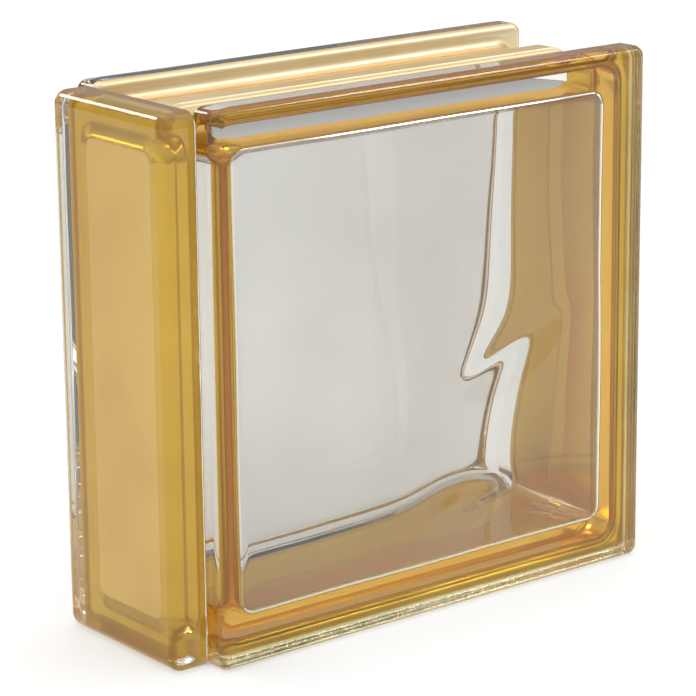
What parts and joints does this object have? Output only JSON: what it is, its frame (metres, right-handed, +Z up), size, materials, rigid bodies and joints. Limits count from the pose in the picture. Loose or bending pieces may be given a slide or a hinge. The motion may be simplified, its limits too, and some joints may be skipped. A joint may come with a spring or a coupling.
{
  "type": "glass block",
  "caption": "Hollow pressed glass block with wavy clear panes, gold-coated mortar channels and a clear glass plate bonded across one end.",
  "frame": {"origin": "centre of the bounding box's base, on the surface that the block stands on", "axes": "+Z up, X along the block and its end plate, with the plate at the -X end, and Y from the front pane to the back pane"},
  "size_m": [0.2036, 0.08, 0.19],
  "materials": {
    "pressed_glass": "clear pressed glass with a gold metallic coat in the mortar channels",
    "plate_glass": "clear fire-polished glass"
  },
  "bodies": {
    "root": {"glass_body": "pressed_glass", "end_plate": "plate_glass"}
  },
  "joints": []
}
